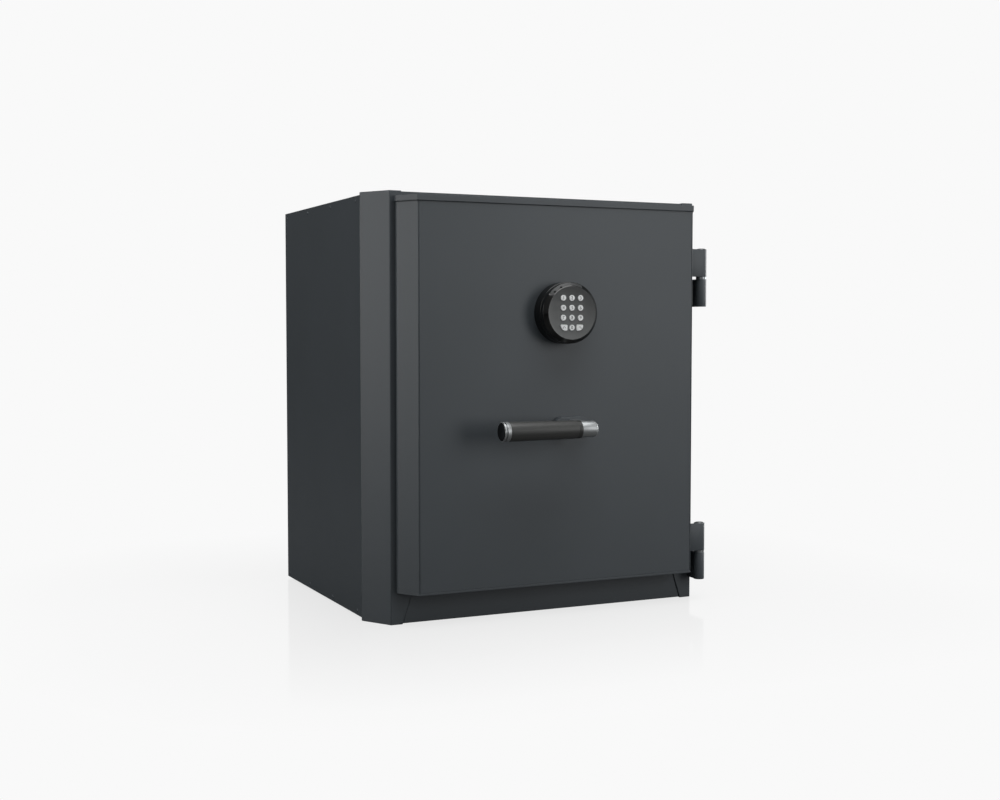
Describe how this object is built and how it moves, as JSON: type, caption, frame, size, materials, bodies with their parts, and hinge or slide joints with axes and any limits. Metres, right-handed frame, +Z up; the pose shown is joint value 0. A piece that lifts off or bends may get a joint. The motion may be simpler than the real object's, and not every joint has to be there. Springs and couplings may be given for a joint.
{
  "type": "safe deposit box",
  "caption": "Free-standing fire and burglar resistant safe deposit box, with a hinged door, a lever handle driving sliding bolts, a round keypad lock and an inner shelf.",
  "frame": {"origin": "centre of the floor anchor hole, at floor level under the middle of the cabinet", "axes": "+Z up, the door faces -Y, +X to the right of someone facing the door"},
  "size_m": [0.542, 0.5276, 0.6],
  "materials": {
    "powder_coat_anthracite": "satin anthracite powder coat on sheet steel",
    "primed_steel": "matt dark primer on sheet steel",
    "zinc_plated_steel": "bright zinc plated steel",
    "satin_chrome": "satin chrome plate",
    "machined_steel": "machined steel",
    "bronze_bush": "sintered bronze",
    "black_abs": "moulded black ABS",
    "grey_face": "grey moulded face, satin",
    "key_plastic": "light grey moulded keys",
    "smoked_window": "smoked translucent window",
    "grip_plastic": "dark warm grey moulded grip",
    "barrier_concrete": "cast fibre reinforced concrete",
    "seal_strip": "intumescent seal strip"
  },
  "bodies": {
    "cabinet": {"side_panel_left": "powder_coat_anthracite", "side_panel_right": "powder_coat_anthracite", "top_panel": "powder_coat_anthracite", "bottom_panel": "powder_coat_anthracite", "back_panel": "powder_coat_anthracite", "barrier_fill": "barrier_concrete", "inner_liner": "primed_steel", "frame_upright_left": "powder_coat_anthracite", "frame_upright_right": "powder_coat_anthracite", "frame_top_rail": "powder_coat_anthracite", "frame_bottom_rail": "powder_coat_anthracite", "fire_seal": "seal_strip", "shelf": "primed_steel", "shelf_clips": "primed_steel", "anchor_sleeve": "machined_steel", "rear_base_strip": "primed_steel", "hinge_top_frame_half": "powder_coat_anthracite", "hinge_bottom_frame_half": "powder_coat_anthracite", "hinge_pins": "machined_steel", "hinge_washers": "machined_steel"},
    "door": {"door_skin": "powder_coat_anthracite", "door_top_cap": "powder_coat_anthracite", "door_bottom_cap": "powder_coat_anthracite", "door_barrier": "barrier_concrete", "door_back_plate": "primed_steel", "boltwork_case": "primed_steel", "boltwork_cover": "primed_steel", "cover_screws": "zinc_plated_steel", "hinge_side_strip": "machined_steel", "drill_plate": "machined_steel", "hinge_top_door_half": "powder_coat_anthracite", "hinge_bottom_door_half": "powder_coat_anthracite", "lock_body": "primed_steel", "keypad_base": "black_abs", "keypad_housing": "black_abs", "keypad_face": "grey_face", "keypad_light_bar": "smoked_window", "handle_rosette": "powder_coat_anthracite", "spindle_bush": "bronze_bush", "carriage_studs": "machined_steel"},
    "boltwork": {"bolt_carriage": "zinc_plated_steel", "throw_bolts": "satin_chrome"},
    "handle": {"lever_neck": "satin_chrome", "grip_sleeve": "grip_plastic", "grip_end_cap": "satin_chrome", "spindle": "machined_steel", "pinion": "machined_steel"},
    "lock_bolt": {"lock_bolt": "satin_chrome"},
    "key_1": {"key_1": "key_plastic"},
    "key_2": {"key_2": "key_plastic"},
    "key_3": {"key_3": "key_plastic"},
    "key_4": {"key_4": "key_plastic"},
    "key_5": {"key_5": "key_plastic"},
    "key_6": {"key_6": "key_plastic"},
    "key_7": {"key_7": "key_plastic"},
    "key_8": {"key_8": "key_plastic"},
    "key_9": {"key_9": "key_plastic"},
    "key_clear": {"key_clear": "key_plastic"},
    "key_0": {"key_0": "key_plastic"},
    "key_enter": {"key_enter": "key_plastic"}
  },
  "joints": [
    {"name": "door_hinge", "type": "hinge", "parent": "cabinet", "child": "door", "pos_m": [0.246, -0.231, 0.3], "axis": [0, 0, 1], "range_deg": [0, 180]},
    {"name": "handle_turn", "type": "hinge", "parent": "door", "child": "handle", "pos_m": [0.013, -0.25, 0.2715], "axis": [0, -1, 0], "range_deg": [0, 90]},
    {"name": "bolt_slide", "type": "slide", "parent": "door", "child": "boltwork", "axis": [-1, 0, 0], "range_m": [0, 0.0252]},
    {"name": "lock_bolt_slide", "type": "slide", "parent": "door", "child": "lock_bolt", "axis": [0, 0, 1], "range_m": [0, 0.01]},
    {"name": "key_1_press", "type": "slide", "parent": "door", "child": "key_1", "axis": [0, 1, 0], "range_m": [0, 0.0008], "stiffness_N_per_m": 800},
    {"name": "key_2_press", "type": "slide", "parent": "door", "child": "key_2", "axis": [0, 1, 0], "range_m": [0, 0.0008], "stiffness_N_per_m": 800},
    {"name": "key_3_press", "type": "slide", "parent": "door", "child": "key_3", "axis": [0, 1, 0], "range_m": [0, 0.0008], "stiffness_N_per_m": 800},
    {"name": "key_4_press", "type": "slide", "parent": "door", "child": "key_4", "axis": [0, 1, 0], "range_m": [0, 0.0008], "stiffness_N_per_m": 800},
    {"name": "key_5_press", "type": "slide", "parent": "door", "child": "key_5", "axis": [0, 1, 0], "range_m": [0, 0.0008], "stiffness_N_per_m": 800},
    {"name": "key_6_press", "type": "slide", "parent": "door", "child": "key_6", "axis": [0, 1, 0], "range_m": [0, 0.0008], "stiffness_N_per_m": 800},
    {"name": "key_7_press", "type": "slide", "parent": "door", "child": "key_7", "axis": [0, 1, 0], "range_m": [0, 0.0008], "stiffness_N_per_m": 800},
    {"name": "key_8_press", "type": "slide", "parent": "door", "child": "key_8", "axis": [0, 1, 0], "range_m": [0, 0.0008], "stiffness_N_per_m": 800},
    {"name": "key_9_press", "type": "slide", "parent": "door", "child": "key_9", "axis": [0, 1, 0], "range_m": [0, 0.0008], "stiffness_N_per_m": 800},
    {"name": "key_clear_press", "type": "slide", "parent": "door", "child": "key_clear", "axis": [0, 1, 0], "range_m": [0, 0.0008], "stiffness_N_per_m": 800},
    {"name": "key_0_press", "type": "slide", "parent": "door", "child": "key_0", "axis": [0, 1, 0], "range_m": [0, 0.0008], "stiffness_N_per_m": 800},
    {"name": "key_enter_press", "type": "slide", "parent": "door", "child": "key_enter", "axis": [0, 1, 0], "range_m": [0, 0.0008], "stiffness_N_per_m": 800}
  ],
  "couplings": [
    {"joint": "bolt_slide", "follows": "handle_turn", "m_per_rad": 0.016}
  ]
}
